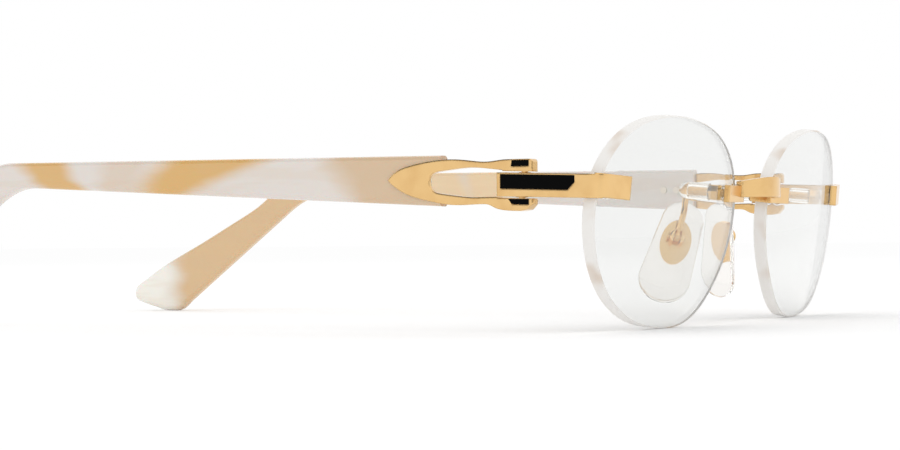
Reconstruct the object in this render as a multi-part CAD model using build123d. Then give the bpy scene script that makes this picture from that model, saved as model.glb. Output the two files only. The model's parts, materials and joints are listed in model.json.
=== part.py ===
"""Rimless eyeglasses with clear lenses, a gold bridge and hinges, and pale horn temples.

Millimetres. X runs across the face with the wearer's left at +X, the lenses face -Y,
the temples run back along +Y and +Z is up. Every piece is modelled on the left (+X) side
and mirrored for the right. The glasses stand on the lower lens edges and the temple tips.
"""

from build123d import *
from math import asin, cos, degrees, radians, sin, sqrt, tan
import os

# ---------------------------------------------------------------- driving sizes
# lenses
LENS_WIDTH = 51.7
LENS_HEIGHT = 36.2
LENS_THICKNESS = 2.35
LENS_CURVE = 150.0          # radius of the front surface
LENS_BEVEL = 0.25
BRIDGE_GAP = 16.8           # clear distance between the two lenses
WRAP_ANGLE = 5.2            # each lens swings back at its outer end
LENS_TILT = 7.1             # the lower lens edge leans towards the cheek
HOLE_HEIGHT = 5.15          # lens holes above the lens centre
HOLE_TO_EDGE = 3.7
HOLE_RADIUS = 0.9

# lens fixings, stacked on each stud
PLATE_GAP = 0.06            # lacquer film between a mounting plate and its lens
PLATE_REACH = 3.4           # plate end beyond the hole, towards the lens centre
STUD_RADIUS = 0.75
STUD_REAR = 6.2             # stud length behind the lens
THREAD_PITCH = 0.36
THREAD_DEPTH = 0.1
WASHER_RADIUS = 1.5
WASHER_THICKNESS = 0.5
COLLAR_RADIUS = 1.25
COLLAR_LENGTH = 0.55
NUT_FLATS = 2.6
NUT_LENGTH = 1.6
CAP_RADIUS = 1.5
CAP_LENGTH_NASAL = 5.2
CAP_LENGTH_TEMPORAL = 4.4
STACK_GAP = 0.02            # between pieces that are tightened together
BORE_GAP = 0.06             # around a stud inside a nut, washer or cap

# bridge
CLAW_HEIGHT = 3.0
CLAW_THICKNESS = 1.05
SHOE_THICKNESS = 1.25       # block that hugs the inner lens edge
SHOE_GAP = 0.25
SHOE_REAR = 0.5             # shoe length behind the lens
ARCH_DEPTH = 3.3            # arch apex in front of the claws
ARCH_THICKNESS = 1.1
ARCH_END_HALF_GAP = 8.7     # half the arch span
ARCH_FRONT_AT_END = -2.0
ARCH_TOP = (2.2, 3.1)      # top edge above the holes, at the ends and at the apex
ARCH_BOTTOM = (-0.65, -0.55)

# endpieces
BAR_HEIGHT = 3.9
BAR_SLOPE = 1.8             # the bars rise slightly to the back
BAR_THICKNESS = 1.35
BAR_STANDOFF = 1.065        # outer face of each side bar beyond the lens
BAR_REAR = 4.3              # bar end behind the hinge axis
FRONT_PLATE_THICKNESS = 1.25
FRONT_PLATE_RISE = 0.65     # front plate centre above the hole
FRONT_PLATE_DIP = 2.5       # front plate slopes down towards the nose
CORNER_RADIUS = 3.0
EDGE_BREAK = 0.15
INLAY_DEPTH = 0.3
INLAY_SUNK = 0.05           # lacquer surface below the metal
BAR_INLAY_TOP = 0.25
BAR_INLAY_HEIGHT = 2.35
BAR_INLAY_FRONT = 7.3
BAR_INLAY_REAR_MARGIN = 0.6
BAR_INLAY_CORNER = 1.2

# hinges
HINGE_BACK = 16.9           # hinge axis behind the front of the lenses
HINGE_RISE = 1.1            # hinge centre above the lens holes
HINGE_FLOOR_GAP = 0.24      # between the bar and each fork knuckle
KNUCKLE_RADIUS = 1.15
SCREW_RADIUS = 0.55
SCREW_FIT = 0.05
SCREW_HEAD_RADIUS = 0.85
SCREW_HEAD_THICKNESS = 0.6
SCREW_SLOT = 0.25
HINGE_WASHER_THICKNESS = 0.1
HINGE_WASHER_RADIUS = 1.0
TEMPLE_CONVERGENCE = 2.9    # each open temple points inwards

# temple fork
FORK_TIP = 25.1             # fork tip behind the hinge axis
FORK_TIP_RISE = 1.15
FORK_FRONT = 2.25           # knuckle ends in front of the axis
FORK_UPPER = 4.2            # knuckle top above the hinge centre
FORK_LOWER = 4.26           # knuckle bottom below the hinge centre
FORK_ARM_THICKNESS = 1.6
FORK_PLATE_THICKNESS = 0.8
KNUCKLE_REAR = 3.3
KNUCKLE_FRONT_ROUND = 0.6
WINDOW_REAR = 17.2
WINDOW_UPPER = 3.0
WINDOW_LOWER = 1.9
KNUCKLE_INLAY_MARGIN = 0.15
KNUCKLE_INLAY_HEIGHT = 1.0
KNUCKLE_INLAY_LENGTH = 3.2

# horn temples
HORN_FRONT = 15.3           # horn end behind the hinge axis
HORN_THICKNESS = 2.8
HORN_SUNK = 0.3             # horn face below the fork face
HORN_ROUND = 0.9
HORN_FIT = 0.03
NOTCH_MARGIN = 1.4          # horn notch behind the end of the fork's window
HORN_FRONT_TOP = 5.15       # horn edges from the hinge centre, at the front
HORN_FRONT_BOTTOM = -3.3
HORN_BEND = 107.0           # where the temple bends down
HORN_BEND_TOP = 5.85
HORN_BEND_BOTTOM = 1.15
HORN_BEND_LEAD = 6.5        # lower edge starts to bend this far ahead
TIP_REACH = 139.2           # lowest point of the tip behind the axis
TIP_OVERHANG = 10.4         # tip beyond its lowest point
TIP_END_HEIGHT = 3.7
RIVET_RADIUS = 0.5
RIVET_HEAD_RADIUS = 0.7
RIVET_HEAD_THICKNESS = 0.25
RIVET_PLACES = (19.2, 22.0)  # behind the hinge axis

# nose pads
PAD_CENTRE = (12.3, 10.9, -10.1)   # from the middle plane, lens front and hole height
PAD_LENGTH = 19.2
PAD_LOW_RADIUS = 4.5
PAD_HIGH_RADIUS = 3.7
PAD_SKEW = -0.6             # upper end sits forward of the lower one
PAD_THICKNESS = 2.4
PAD_ROUND = 1.0
PAD_SPLAY = 28.0            # pads open towards the back
PAD_FLARE = 21.4            # and towards the bottom
PAD_LEAN = 7.5              # lower end leans back
SHIELD_LENGTH = 8.2
SHIELD_WIDTH = 5.2
SHIELD_THICKNESS = 0.5
SHIELD_RISE = 1.4           # shield centre above the pad centre
BOX_RISE = 0.6              # round box above the shield centre
BOX_RADIUS = 1.3
BOX_DEPTH = 2.2
BOX_ROUND = 0.4
BOX_GAP = 1.2               # slot between the two cheeks
PAD_SCREW_RADIUS = 0.45
PAD_SCREW_FIT = 0.04
LUG_RADIUS = 0.85
LUG_GAP = 0.1
ARM_RADIUS = 0.52
ARM_BACK = 9.3              # bend of the pad arm behind the lens front
ARM_SIDE = 9.3
ARM_BEND = 1.6
ARM_DROP = 4.5              # straight end of the arm above the pad screw
ARM_LIFT = 1.1              # and how far that end leans out from the pad
ARM_RISE = 0.7              # bend above the start of the arm


# ---------------------------------------------------------------- shared frames
def left(x, y, z):
    return Vector(x, y, z)


def lens_outline():
    """Soft oval, wider at the upper corners, drawn about its own centre."""
    half_width = LENS_WIDTH / 2
    half_height = LENS_HEIGHT / 2
    shares = [
        (0.01, 0.997), (0.39, 0.954), (0.72, 0.777), (0.965, 0.374), (0.983, -0.113),
        (0.778, -0.627), (0.386, -0.926), (0.0, -0.997), (-0.38, -0.943), (-0.745, -0.609),
        (-0.97, -0.113), (-0.968, 0.382), (-0.706, 0.777), (-0.36, 0.94),
    ]
    points = [(u * half_width, v * half_height) for u, v in shares]
    return make_face(Spline(*points, periodic=True))


def lens_blank():
    """Curved shell of even thickness cut to the outline, front vertex at the origin."""
    centre = Pos(0, 0, -LENS_CURVE) * Rot(90, 0, 0)    # keeps the balls' poles off the lens
    ball = centre * Sphere(LENS_CURVE)
    hollow = centre * Sphere(LENS_CURVE - LENS_THICKNESS)
    blank = (extrude(lens_outline(), 12, both=True) & ball) - hollow
    rims = blank.edges().filter_by(lambda edge: edge.length > LENS_WIDTH)
    return chamfer(rims, LENS_BEVEL)


def lens_axes():
    """Directions of the left lens: outwards along it, and out of its front."""
    swing, lean = radians(WRAP_ANGLE), radians(LENS_TILT)
    along = Vector(cos(swing), sin(swing), 0)
    front = Vector(cos(lean) * sin(swing), -cos(lean) * cos(swing), -sin(lean))
    return along, front


LENS_ALONG, LENS_NORMAL = lens_axes()
LENS_X = BRIDGE_GAP / 2 + LENS_WIDTH / 2 * cos(radians(WRAP_ANGLE))
AT_ZERO = Plane(origin=(LENS_X, 0, 0), x_dir=LENS_ALONG, z_dir=LENS_NORMAL).location
LENS_Z = -(AT_ZERO * lens_blank()).bounding_box().min.Z
LENS = Plane(origin=(LENS_X, 0, LENS_Z), x_dir=LENS_ALONG, z_dir=LENS_NORMAL).location


def edge_at_hole_height():
    """Inner and outer lens edge on the line through the holes, in the lens frame."""
    line = Edge.make_line((-LENS_WIDTH, HOLE_HEIGHT), (LENS_WIDTH, HOLE_HEIGHT))
    chord = (line & lens_outline()).edges()[0]
    ends = sorted([chord.position_at(0).X, chord.position_at(1).X])
    return ends[0], ends[1]


EDGE_NASAL, EDGE_TEMPORAL = edge_at_hole_height()
HOLE_NASAL = EDGE_NASAL + HOLE_TO_EDGE
HOLE_TEMPORAL = EDGE_TEMPORAL - HOLE_TO_EDGE


def hole_frame(u):
    """Frame on the lens front at a hole: X along the lens, Z out of the glass."""
    depth = sqrt(LENS_CURVE**2 - u**2 - HOLE_HEIGHT**2)
    origin = (u, HOLE_HEIGHT, depth - LENS_CURVE)
    outwards = Vector(u, HOLE_HEIGHT, depth)
    return LENS * Plane(origin=origin, x_dir=(1, 0, 0), z_dir=outwards).location


def shoe_frame():
    """Frame of the shoe at the front of the inner lens edge, square to the lens."""
    u = EDGE_NASAL - SHOE_GAP - SHOE_THICKNESS / 2
    depth = sqrt(LENS_CURVE**2 - u**2 - HOLE_HEIGHT**2)
    return LENS * Pos(u, HOLE_HEIGHT, depth - LENS_CURVE)


SHOE = shoe_frame()
NASAL = hole_frame(HOLE_NASAL)
TEMPORAL = hole_frame(HOLE_TEMPORAL)
HOLE_Z = NASAL.position.Z

BAR_OUTER = BRIDGE_GAP / 2 + LENS_WIDTH * cos(radians(WRAP_ANGLE)) + BAR_STANDOFF
AXIS_X = BAR_OUTER - KNUCKLE_RADIUS
HINGE_Z = HOLE_Z + HINGE_RISE
LEAN = radians(LENS_TILT)
HINGE_AXIS = Vector(0, -sin(LEAN), cos(LEAN))
HINGE = Plane(origin=(AXIS_X, HINGE_BACK, HINGE_Z), x_dir=(1, 0, 0), z_dir=HINGE_AXIS).location
ON_BAR = Pos(AXIS_X, HINGE_BACK, HINGE_Z) * Rot(BAR_SLOPE, 0, 0)
KNUCKLE_GAP = BAR_HEIGHT / 2 + HINGE_FLOOR_GAP


def open_temple(shape):
    """Turns a temple piece, drawn straight back, to its open place about the hinge."""
    return shape.rotate(Axis(HINGE.position, HINGE_AXIS), TEMPLE_CONVERGENCE)


def side_face(points, curve=False):
    """Face in the YZ plane from (behind hinge axis, above hinge centre) points."""
    places = [Vector(0, HINGE_BACK + back, HINGE_Z + up) for back, up in points]
    return make_face(Polyline(*places, close=True))


def mirrored(shape):
    return mirror(shape, Plane.YZ)


# ---------------------------------------------------------------- lens and its fixings
def lens():
    body = LENS * lens_blank()
    for frame in (NASAL, TEMPORAL):
        body -= frame * Cylinder(HOLE_RADIUS, 4 * LENS_THICKNESS)
    return body


def stud():
    """Threaded pin soldered behind a plate, through the lens, in a hole frame."""
    root = STUD_RADIUS - THREAD_DEPTH
    rear = -LENS_THICKNESS - STUD_REAR
    start = -LENS_THICKNESS
    turns = int((STUD_REAR - THREAD_PITCH) / THREAD_PITCH)
    profile = [(0, PLATE_GAP), (STUD_RADIUS, PLATE_GAP), (STUD_RADIUS, start)]
    for turn in range(turns):
        top = start - turn * THREAD_PITCH
        profile.append((root, top - THREAD_PITCH / 2))
        profile.append((STUD_RADIUS, top - THREAD_PITCH))
    profile += [(root, rear), (0, rear)]
    section = make_face(Polyline(*[(x, 0, z) for x, z in profile], close=True))
    return revolve(section, Axis.Z)


def ring(outer, inner, length):
    return Cylinder(outer, length) - Cylinder(inner, 2 * length)


def lens_washer():
    place = -LENS_THICKNESS - STACK_GAP - WASHER_THICKNESS / 2
    washer = ring(WASHER_RADIUS, STUD_RADIUS + BORE_GAP, WASHER_THICKNESS)
    return Pos(0, 0, place) * washer


NUT_FRONT = -LENS_THICKNESS - WASHER_THICKNESS - 2 * STACK_GAP
NUT_REAR = NUT_FRONT - COLLAR_LENGTH - NUT_LENGTH


def stud_nut():
    collar = Pos(0, 0, NUT_FRONT - COLLAR_LENGTH / 2) * Cylinder(COLLAR_RADIUS, COLLAR_LENGTH)
    hexagon = extrude(RegularPolygon(NUT_FLATS / 2, 6, major_radius=False), NUT_LENGTH)
    crown = Pos(0, 0, NUT_REAR) * hexagon
    waist = Pos(0, 0, NUT_REAR + NUT_LENGTH / 2) * Cylinder(CAP_RADIUS - 0.05, NUT_LENGTH)
    bore = Pos(0, 0, NUT_REAR) * Cylinder(STUD_RADIUS + BORE_GAP, 20)
    return (collar + (crown & waist)) - bore


def stud_cap(length):
    """Clear domed sleeve pushed over the end of the stud."""
    front = NUT_REAR - STACK_GAP
    rear = front - length
    shell = Pos(0, 0, front - (length - CAP_RADIUS) / 2) * Cylinder(CAP_RADIUS, length - CAP_RADIUS)
    dome = Pos(0, 0, rear + CAP_RADIUS) * Sphere(CAP_RADIUS)
    stud_end = -LENS_THICKNESS - STUD_REAR
    depth = min(front - stud_end + 2 * BORE_GAP, length - 0.8)
    bore = Pos(0, 0, front - depth / 2) * Cylinder(STUD_RADIUS + BORE_GAP, depth)
    return (shell + dome) - bore


# ---------------------------------------------------------------- bridge
def claw():
    """Plate on the lens front and a shoe that follows the inner lens edge to the back."""
    outer_end = EDGE_NASAL - HOLE_NASAL - SHOE_GAP - SHOE_THICKNESS
    length = PLATE_REACH - outer_end
    plate = Box(length, CLAW_HEIGHT, CLAW_THICKNESS)
    plate = Pos((PLATE_REACH + outer_end) / 2, 0, PLATE_GAP + CLAW_THICKNESS / 2) * plate
    reach = LENS_THICKNESS + SHOE_REAR + CLAW_THICKNESS / 2
    shoe = Box(SHOE_THICKNESS, CLAW_HEIGHT, reach)
    return NASAL * plate + SHOE * (Pos(0, 0, (CLAW_THICKNESS - reach) / 2) * shoe)


def arch():
    """Bowed strip between the claws: its plan and its elevation, crossed."""
    end, front = ARCH_END_HALF_GAP, ARCH_FRONT_AT_END
    back = front + ARCH_THICKNESS
    outer = ThreePointArc((-end, front), (0, front - ARCH_DEPTH), (end, front))
    inner = ThreePointArc((end, back), (0, back - ARCH_DEPTH), (-end, back))
    sides = [Line((end, front), (end, back)), Line((-end, back), (-end, front))]
    plan = make_face([outer, sides[0], inner, sides[1]])
    strip = Pos(0, 0, HOLE_Z - 10) * extrude(plan, 20)
    low, high = HOLE_Z + ARCH_BOTTOM[0], HOLE_Z + ARCH_TOP[0]
    low_apex, high_apex = HOLE_Z + ARCH_BOTTOM[1], HOLE_Z + ARCH_TOP[1]
    top = ThreePointArc((-end, 0, high), (0, 0, high_apex), (end, 0, high))
    bottom = ThreePointArc((end, 0, low), (0, 0, low_apex), (-end, 0, low))
    closes = [Line((end, 0, high), (end, 0, low)), Line((-end, 0, low), (-end, 0, high))]
    elevation = extrude(make_face([top, closes[0], bottom, closes[1]]), 20, both=True)
    return strip & elevation


def bridge():
    one_claw = claw()
    return arch() + one_claw + mirrored(one_claw)


# ---------------------------------------------------------------- endpieces
def bar_band(top_inset, bottom_inset, front, rear):
    """Side outline of a stretch of the bar, between two insets from its top edge."""
    rise = tan(radians(BAR_SLOPE))
    top = [(back, back * rise + BAR_HEIGHT / 2 - top_inset) for back in (front, rear)]
    low = [(back, back * rise + BAR_HEIGHT / 2 - bottom_inset) for back in (rear, front)]
    return top, low


def bar_slab(depth):
    """The bar's side outline made solid inwards from its outer face."""
    top, low = bar_band(0, BAR_HEIGHT, -HINGE_BACK, BAR_REAR)
    return Pos(BAR_OUTER - depth, 0, 0) * extrude(side_face(top + low), depth, dir=(1, 0, 0))


def bar_barrel():
    """Middle knuckle of the hinge, as high as the bar."""
    return bar_slab(2 * KNUCKLE_RADIUS) & (HINGE * Cylinder(KNUCKLE_RADIUS, 3 * BAR_HEIGHT))


def front_plate():
    """Plate on the lens front that turns into the side bar, in the temporal frame."""
    length = 2 * (HOLE_TO_EDGE + 6)
    plate = Box(length, BAR_HEIGHT, FRONT_PLATE_THICKNESS)
    plate = Pos(length / 2 - PLATE_REACH, FRONT_PLATE_RISE, PLATE_GAP + FRONT_PLATE_THICKNESS / 2) * plate
    return TEMPORAL * (Rot(0, 0, FRONT_PLATE_DIP) * plate)


def bar_inlay_face():
    front = BAR_INLAY_FRONT - HINGE_BACK
    rear = BAR_REAR - BAR_INLAY_REAR_MARGIN
    top, low = bar_band(BAR_INLAY_TOP, BAR_INLAY_TOP + BAR_INLAY_HEIGHT, front, rear)
    tip_back, tip_up = low.pop()
    low.append((tip_back + BAR_INLAY_CORNER, tip_up))
    low.append((tip_back, tip_up + BAR_INLAY_CORNER))
    return side_face(top + low)


def endpiece():
    bar = bar_slab(BAR_THICKNESS)
    plate = front_plate()
    front_limit = PLATE_GAP + FRONT_PLATE_THICKNESS
    behind_front = TEMPORAL * (Pos(0, 0, front_limit - 30) * Box(120, 120, 60))
    inside_outer = Pos(BAR_OUTER - 30, 0, HINGE_Z) * Box(60, 120, 60)
    shell = (plate & inside_outer) + (bar & behind_front)
    corner = shell.edges().filter_by(lambda edge: edge.length > 2).sort_by(
        lambda edge: (edge.center() - Vector(BAR_OUTER, 0, HINGE_Z)).length
    )[0]
    shell = fillet(corner, CORNER_RADIUS)
    shell += bar_barrel()
    shell -= HINGE * Cylinder(SCREW_RADIUS + SCREW_FIT, 20)
    pocket = extrude(bar_inlay_face(), INLAY_DEPTH, dir=(1, 0, 0))
    return shell - Pos(BAR_OUTER - INLAY_DEPTH, 0, 0) * pocket


def endpiece_inlay():
    fill = extrude(bar_inlay_face(), INLAY_DEPTH - INLAY_SUNK, dir=(1, 0, 0))
    return Pos(BAR_OUTER - INLAY_DEPTH, 0, 0) * fill


# ---------------------------------------------------------------- hinge hardware
def hinge_screw():
    """Slotted screw through both fork knuckles and the bar, in place."""
    head_top = FORK_UPPER - 0.1
    head_low = head_top - SCREW_HEAD_THICKNESS
    end = -FORK_LOWER + 0.3
    head = Pos(0, 0, head_top - SCREW_HEAD_THICKNESS / 2) * Cylinder(SCREW_HEAD_RADIUS, SCREW_HEAD_THICKNESS)
    shaft = Pos(0, 0, (head_low + end) / 2) * Cylinder(SCREW_RADIUS, head_low - end)
    slot = Pos(0, 0, head_top) * Box(4 * SCREW_RADIUS + 2, SCREW_SLOT, SCREW_SLOT * 2)
    return HINGE * ((head + shaft) - slot)


def hinge_washers():
    """Two thin washers that lie on the bar, one under each fork knuckle."""
    one = ring(HINGE_WASHER_RADIUS, SCREW_RADIUS + 0.15, HINGE_WASHER_THICKNESS)
    offset = (BAR_HEIGHT + HINGE_WASHER_THICKNESS) / 2
    shift = offset * tan(LEAN)
    return [
        ON_BAR * (Pos(0, -shift, offset) * one),
        ON_BAR * (Pos(0, shift, -offset) * one),
    ]


# ---------------------------------------------------------------- temple fork
def fork_outline():
    """Side view of the fork: two knuckles, two arms and a pointed leaf-shaped plate."""
    upper, lower, front = FORK_UPPER, -FORK_LOWER, -FORK_FRONT
    tip = (FORK_TIP, FORK_TIP_RISE)
    top = Spline(
        (KNUCKLE_REAR - 0.9, upper), (5.9, upper - 0.3), (11.4, upper + 0.15), (16.6, upper),
        (21.0, upper - 0.75), tip, tangents=[(1, 0), (0.62, -0.78)],
    )
    low = Spline(
        tip, (21.3, -1.3), (17.0, -2.45), (12.3, -3.15), (6.0, -3.15), (0, lower),
        tangents=[(-0.70, -0.71), (-1, 0)],
    )
    corner = 0.5
    front_low = Polyline((0, lower), (front + 1.1, lower + 0.2), (front, lower + 1.2), (front, upper - corner))
    front_top = Polyline((front, upper - corner), (front + corner, upper), (KNUCKLE_REAR - 0.9, upper))
    return [top, low, front_low, front_top]


def window_outline():
    """Long oval opening of the fork, open at the front where the bar enters."""
    rear, mouth = WINDOW_REAR, KNUCKLE_REAR
    upper = Spline(
        (mouth, WINDOW_UPPER - 0.55), (9.3, WINDOW_UPPER), (rear - 3.0, WINDOW_UPPER - 0.4), (rear, 0.9),
        tangents=[(1, 0.1), (0, -1)],
    )
    lower = Spline(
        (rear, 0.9), (rear - 2.8, -WINDOW_LOWER + 0.6), (9.3, -WINDOW_LOWER), (mouth, -WINDOW_LOWER),
        tangents=[(0, -1), (-1, 0)],
    )
    return [upper, lower, Line((mouth, -WINDOW_LOWER), (mouth, WINDOW_UPPER - 0.55))]


SIDE = Plane(origin=(0, HINGE_BACK, HINGE_Z), x_dir=(0, 1, 0), z_dir=(1, 0, 0)).location


def side_slab(edges, inner, outer):
    """Side-view face made solid between two depths under the outer fork face."""
    slab = extrude(make_face(edges), outer - inner)
    return Pos(BAR_OUTER, 0, 0) * (SIDE * (Pos(0, 0, inner) * slab))


def fork_depth():
    """Plan of the fork: thick at the knuckles, thinner in the arms, thin over the horn."""
    points = [
        (0, -FORK_FRONT), (0, FORK_TIP + 1), (-FORK_PLATE_THICKNESS, FORK_TIP + 1),
        (-FORK_PLATE_THICKNESS, HORN_FRONT - HORN_FIT), (-FORK_ARM_THICKNESS, HORN_FRONT - HORN_FIT),
        (-FORK_ARM_THICKNESS, KNUCKLE_REAR + 2.4), (-2 * KNUCKLE_RADIUS, KNUCKLE_REAR),
        (-2 * KNUCKLE_RADIUS, -FORK_FRONT),
    ]
    plan = make_face(Polyline(*[(x, y) for x, y in points], close=True))
    return Pos(BAR_OUTER, HINGE_BACK, HINGE_Z - 20) * extrude(plan, 40)


def knuckle_inlay_faces():
    """Side outlines of the black inlays in the upper and the lower knuckle."""
    half = KNUCKLE_INLAY_LENGTH / 2
    upper = FORK_UPPER - KNUCKLE_INLAY_MARGIN
    under = -KNUCKLE_GAP - KNUCKLE_INLAY_MARGIN
    bottom = upper - KNUCKLE_INLAY_HEIGHT
    high = [(-half, upper), (half, upper), (half + 0.15, bottom), (-half, bottom)]
    low = [
        (-half, under), (half + 0.7, under + 0.1),
        (half, under - KNUCKLE_INLAY_HEIGHT + 0.2), (-half, under - KNUCKLE_INLAY_HEIGHT + 0.1),
    ]
    return [high, low]


def straight_fork():
    body = side_slab(fork_outline(), -2 * KNUCKLE_RADIUS, 0) & fork_depth()
    fronts = body.edges().filter_by(Axis.Z).filter_by(
        lambda edge: edge.length > 2 and edge.center().Y < HINGE_BACK - FORK_FRONT + 0.1
    )
    body = fillet(fronts, KNUCKLE_FRONT_ROUND)
    body -= side_slab(window_outline(), -10, 10)
    slot_length = KNUCKLE_REAR + 1.0 + 2 * FORK_FRONT
    slot = Pos(0, KNUCKLE_REAR + 1.0 - slot_length / 2, 0) * Box(20, slot_length, 2 * KNUCKLE_GAP)
    body -= ON_BAR * slot
    body -= HINGE * Cylinder(SCREW_RADIUS + STACK_GAP, 20)
    head_low = FORK_UPPER - 0.1 - SCREW_HEAD_THICKNESS - STACK_GAP
    body -= HINGE * (Pos(0, 0, head_low + 5) * Cylinder(SCREW_HEAD_RADIUS + BORE_GAP, 10))
    for points in knuckle_inlay_faces():
        body -= side_slab(Polyline(*points, close=True), -INLAY_DEPTH, 1)
    return body


def fork_inlays():
    return [
        open_temple(side_slab(Polyline(*points, close=True), -INLAY_DEPTH, -INLAY_SUNK))
        for points in knuckle_inlay_faces()
    ]


# ---------------------------------------------------------------- horn temple
def horn_outline():
    """Side view of the temple: a long taper, then a drop that widens to a rounded tip."""
    floor = -HINGE_Z
    tip = (TIP_REACH + TIP_OVERHANG, floor + TIP_END_HEIGHT)
    lowest = (TIP_REACH, floor)

    def drop(along, up, end=TIP_REACH):
        """Point of the drop as shares of its run behind the bend and of its height."""
        return HORN_BEND + along * (end - HORN_BEND), floor + up * HINGE_Z

    def end(along, up):
        """Point of the tip's underside as shares of its overhang and end height."""
        return TIP_REACH + along * TIP_OVERHANG, floor + up * TIP_END_HEIGHT

    bend_top = (HORN_BEND - 1.0, HORN_BEND_TOP)
    bend_low = (HORN_BEND - HORN_BEND_LEAD, HORN_BEND_BOTTOM)
    top = Spline(
        bend_top, drop(0.215, 1.008, tip[0]), drop(0.38, 0.828, tip[0]), drop(0.634, 0.587, tip[0]),
        drop(0.88, 0.352, tip[0]), drop(0.95, 0.27, tip[0]), tip, tangents=[(1, 0.005), (0, -1)],
    )
    under = Spline(tip, end(0.85, 0.51), end(0.43, 0.16), lowest, tangents=[(0, -1), (-1, 0)])
    heel_end, shank_end = drop(0.882, 0.091), drop(0.193, 0.81)
    climb = (shank_end[0] - heel_end[0], shank_end[1] - heel_end[1])
    heel = Spline(lowest, heel_end, tangents=[(-1, 0), climb])
    shank = Line(heel_end, shank_end)
    front_low, front_top = (HORN_FRONT, HORN_FRONT_BOTTOM), (HORN_FRONT, HORN_FRONT_TOP)
    run = (front_low[0] - bend_low[0], front_low[1] - bend_low[1])
    turn = Spline(shank_end, bend_low, tangents=[climb, run])
    straight = [Line(bend_low, front_low), Line(front_low, front_top), Line(front_top, bend_top)]
    return [top, under, heel, shank, turn, *straight]


def straight_horn():
    outer = -HORN_SUNK
    body = side_slab(horn_outline(), outer - HORN_THICKNESS, outer)
    long_edges = body.edges().filter_by(lambda edge: edge.length > 4 and edge.center().Y > HINGE_BACK + HORN_FRONT + 1)
    body = fillet(long_edges, HORN_ROUND)
    pocket = side_slab(fork_outline(), -FORK_PLATE_THICKNESS - HORN_FIT, 1)
    body -= pocket
    body -= Pos(0, NOTCH_MARGIN, 0) * side_slab(window_outline(), -10, 10)
    for place in RIVET_PLACES:
        body -= rivet_place(place) * Cylinder(RIVET_RADIUS + HORN_FIT, 20)
    return body


def rivet_place(back):
    frame = Plane(origin=(BAR_OUTER, HINGE_BACK + back, HINGE_Z + 1.0), z_dir=(-1, 0, 0))
    return frame.location


def temple_rivets():
    """Two rivets that hold the fork plate to the horn, headed on the inner face."""
    start = FORK_PLATE_THICKNESS + STACK_GAP
    end = HORN_SUNK + HORN_THICKNESS + STACK_GAP
    shaft = Pos(0, 0, (start + end) / 2) * Cylinder(RIVET_RADIUS, end - start)
    head = Pos(0, 0, end + RIVET_HEAD_THICKNESS / 2) * Cylinder(RIVET_HEAD_RADIUS, RIVET_HEAD_THICKNESS)
    return [open_temple(rivet_place(back) * (shaft + head)) for back in RIVET_PLACES]


# ---------------------------------------------------------------- nose pads
def pad_frame():
    """Frame of the left pad: X across it to the back, Y up it, Z out of its outer face."""
    splay, flare, lean = radians(PAD_SPLAY), radians(PAD_FLARE), radians(PAD_LEAN)
    up = Vector(-tan(flare), -tan(lean), 1).normalized()
    across = Vector(sin(splay), cos(splay), 0)
    outwards = across.cross(up).normalized()
    across = up.cross(outwards)
    x, y, z = PAD_CENTRE
    return Plane(origin=(x, y, HOLE_Z + z), x_dir=across, z_dir=outwards).location


PAD = pad_frame()
PAD_PIVOT_Z = PAD_THICKNESS / 2 + SHIELD_THICKNESS + BOX_DEPTH - LUG_RADIUS - 0.2
PIVOT = PAD * Pos(0, SHIELD_RISE + BOX_RISE, PAD_PIVOT_Z)


def nose_pad():
    """Soft teardrop pad, fuller at its lower end, with rounded rims."""
    low = Pos(0, PAD_LOW_RADIUS - PAD_LENGTH / 2) * Circle(PAD_LOW_RADIUS)
    high = Pos(PAD_SKEW, PAD_LENGTH / 2 - PAD_HIGH_RADIUS) * Circle(PAD_HIGH_RADIUS)
    outline = make_hull(low.edges() + high.edges())
    body = Pos(0, 0, -PAD_THICKNESS / 2) * extrude(outline, PAD_THICKNESS)
    rims = body.edges().filter_by(Plane.XY)
    return PAD * fillet(rims, PAD_ROUND)


def pad_mount():
    """Oval metal shield on the back of the pad with a round slotted box for the arm."""
    base = PAD_THICKNESS / 2 + STACK_GAP
    shield = extrude(Ellipse(SHIELD_WIDTH / 2, SHIELD_LENGTH / 2), SHIELD_THICKNESS)
    depth = BOX_DEPTH + SHIELD_THICKNESS / 2
    box = Cylinder(BOX_RADIUS, depth)
    box = fillet(box.edges().sort_by(Axis.Z)[-1], BOX_ROUND)
    slot = Pos(0, 0, SHIELD_THICKNESS / 2) * Box(BOX_GAP, 4 * BOX_RADIUS, depth)
    body = Pos(0, SHIELD_RISE, base) * shield
    lift = base + SHIELD_THICKNESS / 2 + depth / 2
    body += Pos(0, SHIELD_RISE + BOX_RISE, lift) * (box - slot)
    return PAD * body - PIVOT * (Rot(0, 90, 0) * Cylinder(PAD_SCREW_RADIUS + 0.02, 20))


def pad_screw():
    length = 2 * BOX_RADIUS + 0.1
    head = Pos(0, 0, length / 2 + 0.1) * Cylinder(PAD_SCREW_RADIUS + 0.2, 0.25)
    body = Rot(0, 90, 0) * (Cylinder(PAD_SCREW_RADIUS, length) + head)
    return PIVOT * body


def pad_arm():
    """Wire from the claw shoe, back past the lens edge, then down to the pad box."""
    start = (SHOE * Pos(0, 0, ARM_RADIUS - LENS_THICKNESS - SHOE_REAR)).position
    corner = Vector(ARM_SIDE, ARM_BACK, start.Z + ARM_RISE)
    above = (PIVOT * Pos(0, ARM_DROP, ARM_LIFT)).position
    path = FilletPolyline(start, corner, above, PIVOT.position, radius=ARM_BEND)
    wire = sweep(Plane(origin=start, z_dir=path % 0) * Circle(ARM_RADIUS), path=path)
    lug = Rot(0, 90, 0) * Cylinder(LUG_RADIUS, BOX_GAP - 2 * LUG_GAP)
    eye = Rot(0, 90, 0) * Cylinder(PAD_SCREW_RADIUS + PAD_SCREW_FIT, 10)
    return (wire + PIVOT * lug) - PIVOT * eye - claw()


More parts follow.
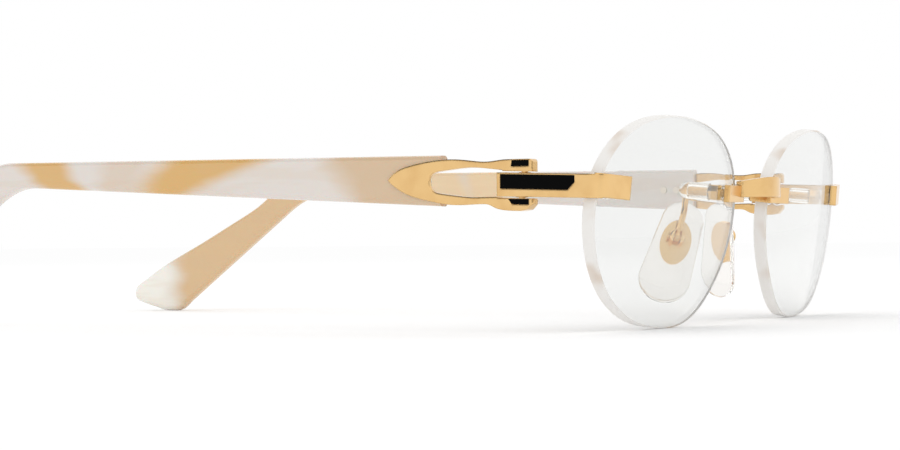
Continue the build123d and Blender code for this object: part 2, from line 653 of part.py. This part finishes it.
# ---------------------------------------------------------------- assembly
def build():
    """Every node as name and solids, left side first, then its mirror image."""
    left_side = {
        "lens": lens(),
        "nasal_stud": NASAL * stud(),
        "nasal_washer": NASAL * lens_washer(),
        "nasal_nut": NASAL * stud_nut(),
        "nasal_cap": NASAL * stud_cap(CAP_LENGTH_NASAL),
        "temporal_stud": TEMPORAL * stud(),
        "temporal_washer": TEMPORAL * lens_washer(),
        "temporal_nut": TEMPORAL * stud_nut(),
        "temporal_cap": TEMPORAL * stud_cap(CAP_LENGTH_TEMPORAL),
        "endpiece": endpiece(),
        "endpiece_inlay": endpiece_inlay(),
        "hinge_washers": Compound(hinge_washers()),
        "hinge_screw": hinge_screw(),
        "temple_fork": open_temple(straight_fork()),
        "fork_inlays": Compound(fork_inlays()),
        "temple_horn": open_temple(straight_horn()),
        "temple_rivets": Compound(temple_rivets()),
        "pad_arm": pad_arm(),
        "pad_mount": pad_mount(),
        "pad_screw": pad_screw(),
        "nose_pad": nose_pad(),
    }
    nodes = {"bridge": bridge()}
    for name, shape in left_side.items():
        nodes[name + "_left"] = shape
        nodes[name + "_right"] = mirrored(shape)
    return nodes


def main():
    nodes = build()
    boxes = [shape.bounding_box() for shape in nodes.values()]
    front = min(box.min.Y for box in boxes)
    rear = max(box.max.Y for box in boxes)
    floor = min(box.min.Z for box in boxes)
    shift = Pos(0, -(front + rear) / 2, -floor)
    os.makedirs("parts", exist_ok=True)
    for name, shape in nodes.items():
        export_step(shift * shape, f"parts/{name}.step")
    print("front", front, "rear", rear, "floor", floor)
    for name, point in (
        ("hinge", HINGE.position),
        ("pad pivot", PIVOT.position),
        ("nasal hole", NASAL.position),
        ("temporal hole", TEMPORAL.position),
    ):
        print(name, (shift * Pos(point)).position)


main()
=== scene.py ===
"""Studio view of rimless eyeglasses with gold fittings and pale horn temples."""

import json
from math import cos, pi, radians, sin, tan

import bmesh
import bpy
from mathutils import Matrix, Vector


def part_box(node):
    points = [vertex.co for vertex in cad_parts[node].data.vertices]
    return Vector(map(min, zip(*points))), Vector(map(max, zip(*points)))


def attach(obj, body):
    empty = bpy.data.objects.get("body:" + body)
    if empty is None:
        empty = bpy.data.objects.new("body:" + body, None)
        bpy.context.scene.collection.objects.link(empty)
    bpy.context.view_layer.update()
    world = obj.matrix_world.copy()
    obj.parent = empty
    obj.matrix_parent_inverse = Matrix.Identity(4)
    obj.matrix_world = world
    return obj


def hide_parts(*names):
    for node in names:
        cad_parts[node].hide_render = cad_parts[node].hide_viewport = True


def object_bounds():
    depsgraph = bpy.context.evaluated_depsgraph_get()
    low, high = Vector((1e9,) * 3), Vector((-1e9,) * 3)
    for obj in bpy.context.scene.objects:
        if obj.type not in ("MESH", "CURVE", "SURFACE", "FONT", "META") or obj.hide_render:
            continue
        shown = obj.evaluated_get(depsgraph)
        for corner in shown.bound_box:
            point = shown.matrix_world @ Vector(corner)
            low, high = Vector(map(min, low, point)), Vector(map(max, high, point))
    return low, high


# ---------------------------------------------------------------- stage values, in metres
# the camera's place is measured from the middle of the lower front edge of the object's box
CAMERA_OFFSET = Vector((-0.442557, -0.156980, 0.015329))
CAMERA_YAW = 0.46630
CAMERA_PITCH = 0.005779
CAMERA_ROLL = -0.0083
CAMERA_LENS = 103.665
CLIP_NEAR = 0.01
CLIP_FAR = 30.0
SENSOR_WIDTH = 36.0

WORLD_WHITE = (1.0, 1.0, 1.0, 1.0)
FLOOR_WHITE = (0.985, 0.985, 0.985, 1.0)
FLOOR_GREY = (0.97, 0.97, 0.97, 1.0)
FLOOR_MOTTLE = 0.02
FLOOR_GRAIN = 30.0
FLOOR_SIZE = 12.0
FLOOR_DROP = 0.00002        # keeps the floor just under the lowest points
MATT = 0.9

# dark cards that only reflections see: name, width and place
CARDS = (
    ("card_over", 0.95, (-0.34, 0.41, 0.75)),
    ("card_front", 0.40, (-0.36, -0.78, 0.20)),
)
CARD_TONE = (0.02, 0.02, 0.02, 1.0)

# soft lamps: name and place
LAMPS = (
    ("key", (-0.4, -0.5, 0.9)),
    ("fill", (0.6, 0.3, 0.9)),
)
LAMP_SIZE = 0.8
LAMP_POWER = 0.5

# ---------------------------------------------------------------- colours and finishes
# clouds, patches, grain, ripple and wear are noise scales, in cells to the metre
GOLD = (0.83, 0.55, 0.245, 1.0)
GOLD_DEEP = (0.74, 0.46, 0.19, 1.0)
GOLD_CLOUD = 260.0
GOLD_CLOUD_STOPS = (0.35, 0.85)
GOLD_SMOOTH = 0.08
GOLD_ROUGH = 0.20
GOLD_EDGE = 0.0005          # radius over which polished edges catch the light
RIVET_PALE = (0.80, 0.72, 0.62, 1.0)
RIVET_ROUGHNESS = 0.3
# painted light: a brighter copy of the gold for the pad mounts, making up for the light they lose
# behind the lens
SHIELD_GOLD_PAINTED_LIGHT = (0.95, 0.66, 0.33, 1.0)
SHIELD_ROUGHNESS = 0.16
METAL_WEAR = 900.0
METAL_WEAR_DEPTH = 0.1      # how much duller the most worn spots are

LENS_TINT = (0.875, 0.880, 0.868, 1.0)
LENS_IOR = 1.6
LENS_LEAN = radians(7.1)    # the lens axis points down and outwards
LENS_SWING = radians(5.2)
LENS_FACE = 0.9             # a face this square to the axis is a polished one
RIM_TINT = (0.97, 0.95, 0.92, 1.0)
RIM_BROWN = (0.66, 0.48, 0.33, 1.0)
RIM_PATCHES = 95.0
RIM_PATCH_STOPS = (0.53, 0.80)
RIM_ROUGHNESS = 0.45
RIM_IOR = 1.2

CLEAR_TINT = (0.97, 0.95, 0.90, 1.0)
CLEAR_HAZE = 0.12
CLEAR_GRAIN = 700.0
CLEAR_IOR = 1.46

SILICONE = (0.97, 0.95, 0.92, 1.0)
SILICONE_CLOUD = 180.0
SILICONE_SMOOTH = 0.06
SILICONE_HAZE = 0.10
SILICONE_IOR = 1.22

# painted reflection: near-black panels standing in for the dark card that the flat gold faces
# mirror
PAINTED_REFLECTION_BLACK = (0.002, 0.002, 0.002, 1.0)
PAINTED_REFLECTION_RIPPLE = 400.0
PAINTED_REFLECTION_SMOOTH = 0.05
PAINTED_REFLECTION_HAZE = 0.05

HORN_WHITE = (0.72, 0.675, 0.645, 1.0)
HORN_CREAM = (0.74, 0.66, 0.57, 1.0)
HORN_CARAMEL = (0.68, 0.415, 0.145, 1.0)
HORN_TAN = (0.63, 0.445, 0.265, 1.0)
HORN_HONEY = (0.82, 0.62, 0.38, 1.0)
HORN_PALE = (0.88, 0.86, 0.79, 1.0)
HORN_IOR = 1.55
HORN_WARP = 0.009           # how far the bands wander
HORN_WARP_SCALE = 90.0
HORN_WARP_STRETCH = (1.0, 0.5, 1.8)
HORN_CLOUD_SCALE = 130.0
HORN_CLOUD_STRETCH = (1.0, 0.35, 1.0)
HORN_CLOUD_DEPTH = 0.6      # how far the cloud turns white horn to cream
HORN_GRAIN_SCALE = 420.0
HORN_GRAIN_STRETCH = (1.0, 0.10, 1.0)
HORN_GRAIN_START = 0.56     # noise above this is a line of grain
HORN_GRAIN_SOFT = 0.12
HORN_GRAIN_DEPTH = 0.12
HORN_SMOOTH = 0.16
HORN_HAZE = 0.14

# middle line of a temple: its height at the frame's origin, how it climbs, and half its height
TEMPLE_MIDDLE = 0.0269
TEMPLE_CLIMB = 0.034
TEMPLE_HALF = 0.0033

# bands across the horn, in metres behind the frame's origin:
# start, start lean, end, end lean, softness, strength, tone
RIGHT_BANDS = (
    (-0.0600, 0.0, -0.0315, 0.0020, 0.007, 0.85, HORN_TAN),
    (-0.0018, -0.0090, 0.0063, -0.0016, 0.008, 1.0, HORN_CARAMEL),
    (0.0150, 0.0, 0.0190, 0.0, 0.005, 0.40, HORN_TAN),
    (0.0310, 0.0028, 0.0355, 0.0035, 0.005, 0.95, HORN_CARAMEL),
    (0.0640, 0.0, 0.1000, 0.0, 0.006, 0.50, HORN_TAN),
)
LEFT_BANDS = (
    (-0.0040, 0.0, 0.0010, 0.0, 0.003, 0.90, HORN_HONEY),
    (0.0050, 0.0010, 0.0170, 0.0, 0.004, 0.90, HORN_HONEY),
    (0.0400, 0.0, 0.0710, 0.0, 0.008, 0.75, HORN_CARAMEL),
    (0.0790, 0.0, 0.1000, 0.0, 0.007, 0.95, HORN_PALE),
)

# ---------------------------------------------------------------- soft pad, in metres
PAD_SPLAY = radians(28.0)   # the pads open towards the back
PAD_FLARE = radians(21.4)   # and towards the bottom
PAD_LEAN = radians(7.5)     # the lower end leans back
PAD_LENGTH = 0.0192
PAD_LOW_RADIUS = 0.0045
PAD_HIGH_RADIUS = 0.0037
PAD_SKEW = -0.0006          # the upper end sits forward of the lower one
PAD_THICKNESS = 0.0024
PAD_CROWN_SKIN = 2.2        # round towards the skin
PAD_CROWN_BACK = 4.5        # and flatter where the shield sits
PAD_SHRINK = 0.985          # keeps the pad inside its solid
PAD_END_STEPS = 20
PAD_SIDE_STEPS = 8
PAD_LEVELS = 22
WELD = 0.00001


# ---------------------------------------------------------------- shader helpers
class Shader:
    """A material's node tree, with short calls for what the finishes need."""

    def __init__(self, name):
        self.material = bpy.data.materials.new(name)
        self.material.use_nodes = True
        self.tree = self.material.node_tree
        self.tree.nodes.clear()
        self.output = self.tree.nodes.new("ShaderNodeOutputMaterial")

    def node(self, kind, **settings):
        made = self.tree.nodes.new(kind)
        for key, value in settings.items():
            setattr(made, key, value)
        return made

    def link(self, source, target):
        self.tree.links.new(source, target)

    def feed(self, socket, value):
        if isinstance(value, bpy.types.NodeSocket):
            self.link(value, socket)
        else:
            socket.default_value = value

    def principled(self, **values):
        shader = self.node("ShaderNodeBsdfPrincipled")
        for key, value in values.items():
            self.feed(shader.inputs[key.replace("_", " ")], value)
        return shader

    def place(self):
        return self.node("ShaderNodeTexCoord").outputs["Object"]

    def split(self, vector):
        parts = self.node("ShaderNodeSeparateXYZ")
        self.link(vector, parts.inputs[0])
        return parts.outputs

    def maths(self, operation, first, second=0.0):
        made = self.node("ShaderNodeMath", operation=operation)
        self.feed(made.inputs[0], first)
        self.feed(made.inputs[1], second)
        return made.outputs[0]

    def scaled(self, value, factor, base):
        """value times factor, plus base."""
        return self.maths("ADD", self.maths("MULTIPLY", value, factor), base)

    def noise(self, vector, scale, detail):
        made = self.node("ShaderNodeTexNoise")
        self.link(vector, made.inputs["Vector"])
        made.inputs["Scale"].default_value = scale
        made.inputs["Detail"].default_value = detail
        return made.outputs["Fac"]

    def stretch(self, vector, scale):
        made = self.node("ShaderNodeMapping")
        self.link(vector, made.inputs["Vector"])
        made.inputs["Scale"].default_value = scale
        return made.outputs[0]

    def ramp(self, factor, stops):
        made = self.node("ShaderNodeValToRGB")
        self.link(factor, made.inputs[0])
        ramp = made.color_ramp
        ramp.interpolation = "EASE"
        for element, (position, colour) in zip(ramp.elements, stops):
            element.position = position
            element.color = colour
        return made.outputs[0]

    def mix(self, factor, first, second):
        made = self.node("ShaderNodeMix", data_type="RGBA")
        self.feed(made.inputs["Factor"], factor)
        self.feed(made.inputs[6], first)
        self.feed(made.inputs[7], second)
        return made.outputs[2]

    def rise(self, value, start, soft):
        """0 below start - soft, easing to 1 at start."""
        made = self.node("ShaderNodeMapRange", interpolation_type="SMOOTHSTEP")
        self.feed(made.inputs["Value"], value)
        made.inputs["From Min"].default_value = start - soft
        made.inputs["From Max"].default_value = start
        return made.outputs[0]

    def fall(self, value, end, soft):
        """1 up to end, easing to 0 at end + soft."""
        return self.maths("SUBTRACT", 1.0, self.rise(value, end + soft, soft))

    def bevel(self, radius):
        made = self.node("ShaderNodeBevel", samples=6)
        made.inputs["Radius"].default_value = radius
        return made.outputs[0]

    def surface(self, shader):
        self.link(shader.outputs[0], self.output.inputs["Surface"])
        return self.material


# ---------------------------------------------------------------- finishes
def gold_finish():
    """Polished plate with a faint cloud of deeper gold and softly lit edges."""
    make = Shader("gold_finish")
    place = make.place()
    cloud = make.noise(place, GOLD_CLOUD, 2.0)
    tone = make.ramp(cloud, zip(GOLD_CLOUD_STOPS, (GOLD, GOLD_DEEP)))
    rough = make.node("ShaderNodeMapRange")
    make.link(make.noise(place, METAL_WEAR, 3.0), rough.inputs["Value"])
    rough.inputs["To Min"].default_value = GOLD_SMOOTH
    rough.inputs["To Max"].default_value = GOLD_ROUGH
    shader = make.principled(Base_Color=tone, Metallic=1.0, Roughness=rough.outputs[0])
    make.link(make.bevel(GOLD_EDGE), shader.inputs["Normal"])
    return make.surface(shader)


def small_gold_finish(name, colour, roughness):
    """Gold of one tone for the small pieces, which have no broad polished faces."""
    make = Shader(name)
    wear = make.noise(make.place(), METAL_WEAR, 2.0)
    rough = make.scaled(wear, METAL_WEAR_DEPTH, roughness)
    return make.surface(make.principled(Base_Color=colour, Metallic=1.0, Roughness=rough))


def lens_finish(side):
    """Clear glass with a ground rim: faces square to the lens axis are the polished ones."""
    make = Shader("lens_finish")
    glass = make.principled(
        Base_Color=LENS_TINT, Roughness=0.0, IOR=LENS_IOR, Transmission_Weight=1.0
    )
    patches = make.noise(make.place(), RIM_PATCHES, 2.0)
    stain = make.ramp(patches, zip(RIM_PATCH_STOPS, (RIM_TINT, RIM_BROWN)))
    rim = make.principled(
        Base_Color=stain, Roughness=RIM_ROUGHNESS, IOR=RIM_IOR, Transmission_Weight=0.15,
        Specular_IOR_Level=0.2,
    )
    facing = make.node("ShaderNodeVectorMath", operation="DOT_PRODUCT")
    make.link(make.node("ShaderNodeNewGeometry").outputs["True Normal"], facing.inputs[0])
    facing.inputs[1].default_value = lens_axis(side)
    square = make.maths("ABSOLUTE", facing.outputs["Value"])
    both = make.node("ShaderNodeMixShader")
    make.link(make.maths("GREATER_THAN", square, LENS_FACE), both.inputs[0])
    make.link(rim.outputs[0], both.inputs[1])
    make.link(glass.outputs[0], both.inputs[2])
    return make.surface(both)


def lens_axis(side):
    """Direction out of the front of the lens on one side, 1 left or -1 right."""
    return Vector((
        side * cos(LENS_LEAN) * sin(LENS_SWING), -cos(LENS_LEAN) * cos(LENS_SWING), -sin(LENS_LEAN)
    ))


def clear_finish():
    """Clear plastic with a trace of haze."""
    make = Shader("clear_finish")
    haze = make.noise(make.place(), CLEAR_GRAIN, 2.0)
    rough = make.maths("MULTIPLY", haze, CLEAR_HAZE)
    return make.surface(make.principled(
        Base_Color=CLEAR_TINT, Roughness=rough, IOR=CLEAR_IOR, Transmission_Weight=1.0
    ))


def silicone_finish():
    """Soft clear silicone, slightly milky."""
    make = Shader("silicone_finish")
    cloud = make.noise(make.place(), SILICONE_CLOUD, 3.0)
    rough = make.scaled(cloud, SILICONE_HAZE, SILICONE_SMOOTH)
    return make.surface(make.principled(
        Base_Color=SILICONE, Roughness=rough, IOR=SILICONE_IOR, Transmission_Weight=0.94
    ))


def painted_reflection_finish():
    """Near-black gloss on the inset panels: a painted reflection of a dark card in the polished
    gold, with a slight ripple in its gloss.
    """
    make = Shader("painted_reflection_finish")
    ripple = make.noise(make.place(), PAINTED_REFLECTION_RIPPLE, 2.0)
    rough = make.scaled(ripple, PAINTED_REFLECTION_HAZE, PAINTED_REFLECTION_SMOOTH)
    return make.surface(make.principled(
        Base_Color=PAINTED_REFLECTION_BLACK, Roughness=rough, Specular_IOR_Level=0.03
    ))


def horn_finish(name, bands):
    """Pale horn with soft bands across it and fine grain along it.

    Each band starts and ends at a place on the temple's middle line. A lean moves that end
    of the band back at the temple's upper edge, and forward at its lower edge.
    """
    make = Shader(name)
    place = make.place()
    axes = make.split(place)
    middle_line = make.scaled(axes["Y"], TEMPLE_CLIMB, TEMPLE_MIDDLE)
    height = make.maths("DIVIDE", make.maths("SUBTRACT", axes["Z"], middle_line), TEMPLE_HALF)
    warp_noise = make.noise(make.stretch(place, HORN_WARP_STRETCH), HORN_WARP_SCALE, 3.0)
    warp = make.maths("MULTIPLY", make.maths("SUBTRACT", warp_noise, 0.5), HORN_WARP)
    along = make.maths("ADD", axes["Y"], warp)
    cloud = make.noise(make.stretch(place, HORN_CLOUD_STRETCH), HORN_CLOUD_SCALE, 3.0)
    colour = make.mix(make.maths("MULTIPLY", cloud, HORN_CLOUD_DEPTH), HORN_WHITE, HORN_CREAM)
    for start, start_lean, end, end_lean, soft, strength, tone in bands:
        after = make.maths("SUBTRACT", along, make.maths("MULTIPLY", height, start_lean))
        before = make.maths("SUBTRACT", along, make.maths("MULTIPLY", height, end_lean))
        band = make.maths("MULTIPLY", make.rise(after, start, soft), make.fall(before, end, soft))
        colour = make.mix(make.maths("MULTIPLY", band, strength), colour, tone)
    fine = make.noise(make.stretch(place, HORN_GRAIN_STRETCH), HORN_GRAIN_SCALE, 3.0)
    grain = make.rise(fine, HORN_GRAIN_START, HORN_GRAIN_SOFT)
    colour = make.mix(make.maths("MULTIPLY", grain, HORN_GRAIN_DEPTH), colour, HORN_TAN)
    rough = make.scaled(cloud, HORN_HAZE, HORN_SMOOTH)
    return make.surface(make.principled(
        Base_Color=colour, Roughness=rough, IOR=HORN_IOR,
        Subsurface_Weight=0.15, Subsurface_Scale=0.001, Coat_Weight=0.25, Coat_Roughness=0.12,
    ))


# ---------------------------------------------------------------- soft pads
def pad_rim():
    """Outline of the pad: for each point its centre on the middle line, direction and radius."""
    low_y = PAD_LOW_RADIUS - PAD_LENGTH / 2
    high_y = PAD_LENGTH / 2 - PAD_HIGH_RADIUS

    def end(centre, radius, start_angle):
        for index in range(PAD_END_STEPS + 1):
            angle = start_angle + pi * index / PAD_END_STEPS
            yield centre, (cos(angle), sin(angle)), radius

    def side(direction, shares):
        for share in shares:
            centre = (PAD_SKEW * share, low_y + (high_y - low_y) * share)
            yield centre, direction, PAD_LOW_RADIUS + (PAD_HIGH_RADIUS - PAD_LOW_RADIUS) * share

    rising = [index / PAD_SIDE_STEPS for index in range(1, PAD_SIDE_STEPS)]
    return [
        *end((0.0, low_y), PAD_LOW_RADIUS, pi),
        *side((1.0, 0.0), rising),
        *end((PAD_SKEW, high_y), PAD_HIGH_RADIUS, 0.0),
        *side((-1.0, 0.0), reversed(rising)),
    ]


def pad_axes(side):
    """Directions of the pad on one side: across it to the back, up it, and out of its back."""
    up = Vector((-tan(PAD_FLARE), -tan(PAD_LEAN), 1)).normalized()
    across = Vector((sin(PAD_SPLAY), cos(PAD_SPLAY), 0))
    outwards = across.cross(up).normalized()
    across = up.cross(outwards)
    mirror = Vector((side, 1, 1))
    return across * mirror, up * mirror, outwards * mirror


def pad_ring(level):
    """How far a ring of the pad spreads from the middle line, as a share, and how high it is."""
    turn = pi * level / PAD_LEVELS
    crown = PAD_CROWN_BACK if level < PAD_LEVELS / 2 else PAD_CROWN_SKIN
    spread = sin(turn) ** (2 / crown) if 0 < level < PAD_LEVELS else 0.0
    lift = abs(cos(turn)) ** (2 / crown) * PAD_THICKNESS / 2
    return spread, lift if cos(turn) > 0 else -lift


def soft_pad(name, body, side):
    """Moulded pad in the place of its solid: crowned on the skin side, flatter on the back."""
    low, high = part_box(name)
    centre = (low + high) / 2
    across, up, outwards = pad_axes(side)
    rim = pad_rim()
    mesh = bmesh.new()
    rings = []
    for level in range(PAD_LEVELS + 1):
        spread, lift = pad_ring(level)
        ring = []
        for (x, y), (turn_x, turn_y), radius in rim:
            x_here = x - PAD_SKEW / 2 + turn_x * radius * spread
            y_here = y + turn_y * radius * spread
            offset = across * x_here + up * y_here + outwards * lift
            ring.append(mesh.verts.new(centre + offset * PAD_SHRINK))
        rings.append(ring)
    for first, second in zip(rings, rings[1:]):
        for index in range(len(rim)):
            after = (index + 1) % len(rim)
            mesh.faces.new((first[index], first[after], second[after], second[index]))
    bmesh.ops.remove_doubles(mesh, verts=mesh.verts[:], dist=WELD)
    bmesh.ops.recalc_face_normals(mesh, faces=mesh.faces[:])
    data = bpy.data.meshes.new(f"soft_{name}")
    mesh.to_mesh(data)
    mesh.free()
    data.polygons.foreach_set("use_smooth", [True] * len(data.polygons))
    made = bpy.data.objects.new(f"soft_{name}", data)
    bpy.context.scene.collection.objects.link(made)
    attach(made, body)
    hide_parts(name)
    return made


# ---------------------------------------------------------------- stage
def aim_camera(low, middle):
    """Camera at its offset from the middle of the box's lower front edge."""
    forward = Vector((
        cos(CAMERA_YAW) * cos(CAMERA_PITCH), sin(CAMERA_YAW) * cos(CAMERA_PITCH), sin(CAMERA_PITCH)
    ))
    right = forward.cross(Vector((0, 0, 1))).normalized()
    up = right.cross(forward)
    across = right * cos(CAMERA_ROLL) + up * sin(CAMERA_ROLL)
    upright = up * cos(CAMERA_ROLL) - right * sin(CAMERA_ROLL)
    data = bpy.data.cameras.new("camera")
    data.lens = CAMERA_LENS
    data.sensor_width = SENSOR_WIDTH
    data.clip_start = CLIP_NEAR
    data.clip_end = CLIP_FAR
    camera = bpy.data.objects.new("camera", data)
    bpy.context.scene.collection.objects.link(camera)
    turn = Matrix((across, upright, -forward)).transposed().to_4x4()
    where = Vector((middle.x, low.y, low.z)) + CAMERA_OFFSET
    camera.matrix_world = Matrix.Translation(where) @ turn
    bpy.context.scene.camera = camera


def white_world():
    world = bpy.data.worlds.new("studio")
    bpy.context.scene.world = world
    world.use_nodes = True
    background = world.node_tree.nodes["Background"]
    background.inputs["Color"].default_value = WORLD_WHITE
    background.inputs["Strength"].default_value = 1.0


def put(made, where, target, axis):
    """Puts an object in its place with its own axis pointing at the target."""
    made.location = where
    made.rotation_mode = "QUATERNION"
    made.rotation_quaternion = (target - Vector(where)).to_track_quat(axis, "Y")


def plane(name, size):
    half = size / 2
    mesh = bpy.data.meshes.new(name)
    corners = [(-half, -half, 0), (half, -half, 0), (half, half, 0), (-half, half, 0)]
    mesh.from_pydata(corners, [], [(0, 1, 2, 3)])
    made = bpy.data.objects.new(name, mesh)
    bpy.context.scene.collection.objects.link(made)
    return made


def paper_floor(low):
    made = plane("floor", FLOOR_SIZE)
    made.location = (0, 0, low.z - FLOOR_DROP)
    make = Shader("floor_paper")
    grain = make.noise(make.place(), FLOOR_GRAIN, 2.0)
    tone = make.mix(make.maths("MULTIPLY", grain, FLOOR_MOTTLE), FLOOR_WHITE, FLOOR_GREY)
    shader = make.principled(Base_Color=tone, Roughness=MATT, Specular_IOR_Level=0.0)
    made.data.materials.append(make.surface(shader))
    return made


def dark_card(name, width, where, target):
    """Card that only reflections see, for darker streaks in the metal."""
    made = plane(name, width)
    put(made, where, target, "Z")
    make = Shader(name)
    shader = make.principled(Base_Color=CARD_TONE, Roughness=MATT)
    made.data.materials.append(make.surface(shader))
    made.visible_camera = False
    made.visible_diffuse = False
    made.visible_transmission = False
    made.visible_shadow = False
    return made


def soft_lamp(name, where, target):
    data = bpy.data.lights.new(name, "AREA")
    data.shape = "SQUARE"
    data.size = LAMP_SIZE
    data.energy = LAMP_POWER
    made = bpy.data.objects.new(name, data)
    bpy.context.scene.collection.objects.link(made)
    put(made, where, target, "-Z")


# ---------------------------------------------------------------- scene
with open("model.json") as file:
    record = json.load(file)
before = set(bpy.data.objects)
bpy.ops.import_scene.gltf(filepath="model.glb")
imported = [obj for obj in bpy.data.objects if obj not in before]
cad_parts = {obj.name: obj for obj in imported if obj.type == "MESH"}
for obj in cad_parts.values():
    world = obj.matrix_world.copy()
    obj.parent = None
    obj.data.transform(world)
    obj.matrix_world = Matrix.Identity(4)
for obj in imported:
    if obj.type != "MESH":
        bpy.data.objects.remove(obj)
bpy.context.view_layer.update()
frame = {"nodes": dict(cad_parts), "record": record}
low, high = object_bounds()
middle = (low + high) / 2

FINISHES = {
    "gold": gold_finish(),
    "clear_plastic": clear_finish(),
    "silicone": silicone_finish(),
    # the black panels are a painted reflection of a dark card in the polished gold
    "black_lacquer": painted_reflection_finish(),
}
SLOTS = {part["node"]: part["material_slot"] for part in frame["record"]["subparts"]}
SPECIAL = {
    "lens_left": lens_finish(1),
    "lens_right": lens_finish(-1),
    "temple_horn_left": horn_finish("horn_left", LEFT_BANDS),
    "temple_horn_right": horn_finish("horn_right", RIGHT_BANDS),
}
rivet_finish = small_gold_finish("rivet_finish", RIVET_PALE, RIVET_ROUGHNESS)
# the pad mounts take the brighter gold, painted light for what they lose behind the lens
shield_painted_light_finish = small_gold_finish("shield_painted_light_finish", SHIELD_GOLD_PAINTED_LIGHT, SHIELD_ROUGHNESS)
for word in ("left", "right"):
    SPECIAL[f"temple_rivets_{word}"] = rivet_finish
    SPECIAL[f"pad_mount_{word}"] = shield_painted_light_finish

for name, piece in frame["nodes"].items():
    finish = SPECIAL.get(name) or FINISHES[SLOTS[name]]
    piece.data.materials.clear()
    piece.data.materials.append(finish)

for side, word in ((1, "left"), (-1, "right")):
    name = f"nose_pad_{word}"
    pad = soft_pad(name, f"{word}_nose_pad", side)
    pad.data.materials.append(FINISHES["silicone"])

aim_camera(low, middle)
white_world()
cards = [paper_floor(low)]
for card in CARDS:
    cards.append(dark_card(*card, middle))
for lamp in LAMPS:
    soft_lamp(*lamp, middle)

bpy.context.scene.view_settings.view_transform = "Standard"
